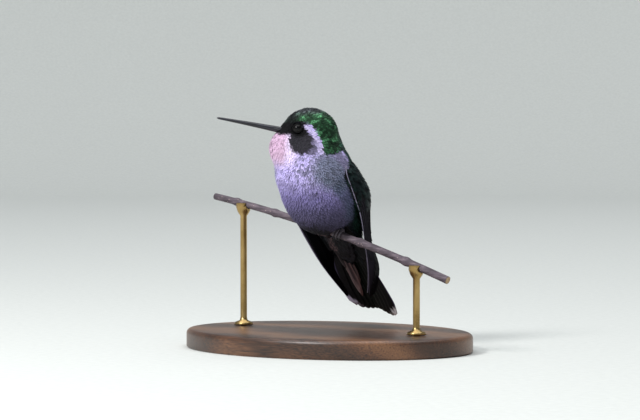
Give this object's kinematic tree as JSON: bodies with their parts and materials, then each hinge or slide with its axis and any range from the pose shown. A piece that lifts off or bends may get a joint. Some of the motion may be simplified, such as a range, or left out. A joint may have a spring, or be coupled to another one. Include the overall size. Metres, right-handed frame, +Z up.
{
  "type": "hummingbird",
  "caption": "Life-size still model of a perched hummingbird gripping a short sloping twig, which slim brass rods hold over an oval wooden display base.",
  "frame": {"origin": "middle of the underside of the display base", "axes": "+Z up, the bird faces -Y and its left side is +X; its head is turned to its right, towards -X"},
  "size_m": [0.1, 0.076, 0.0774],
  "materials": {
    "plumage": "matt overlapping feathers, white at the throat to grey below and green on the flanks",
    "crown": "small green feathers with a metallic glint",
    "flight_feathers": "dark satin quill feathers",
    "horn": "smooth dark horn",
    "cornea": "wet dark eye",
    "leg_skin": "fine scales",
    "bark": "rough grey-brown bark",
    "walnut": "waxed dark wood",
    "brass": "satin"
  },
  "bodies": {
    "root": {"trunk": "plumage", "neck": "plumage", "head": "plumage", "bill_upper": "horn", "bill_lower": "horn", "eye_left": "cornea", "eye_right": "cornea", "wing_left_coverts": "crown", "wing_right_coverts": "crown", "wing_left_flight": "flight_feathers", "wing_right_flight": "flight_feathers", "tail": "flight_feathers", "leg_left": "leg_skin", "leg_right": "leg_skin", "claw_left_1": "horn", "claw_left_2": "horn", "claw_left_3": "horn", "claw_left_4": "horn", "claw_right_1": "horn", "claw_right_2": "horn", "claw_right_3": "horn", "claw_right_4": "horn", "perch": "bark", "stand_base": "walnut", "stand_rod_left": "brass", "stand_rod_right": "brass"}
  },
  "joints": []
}
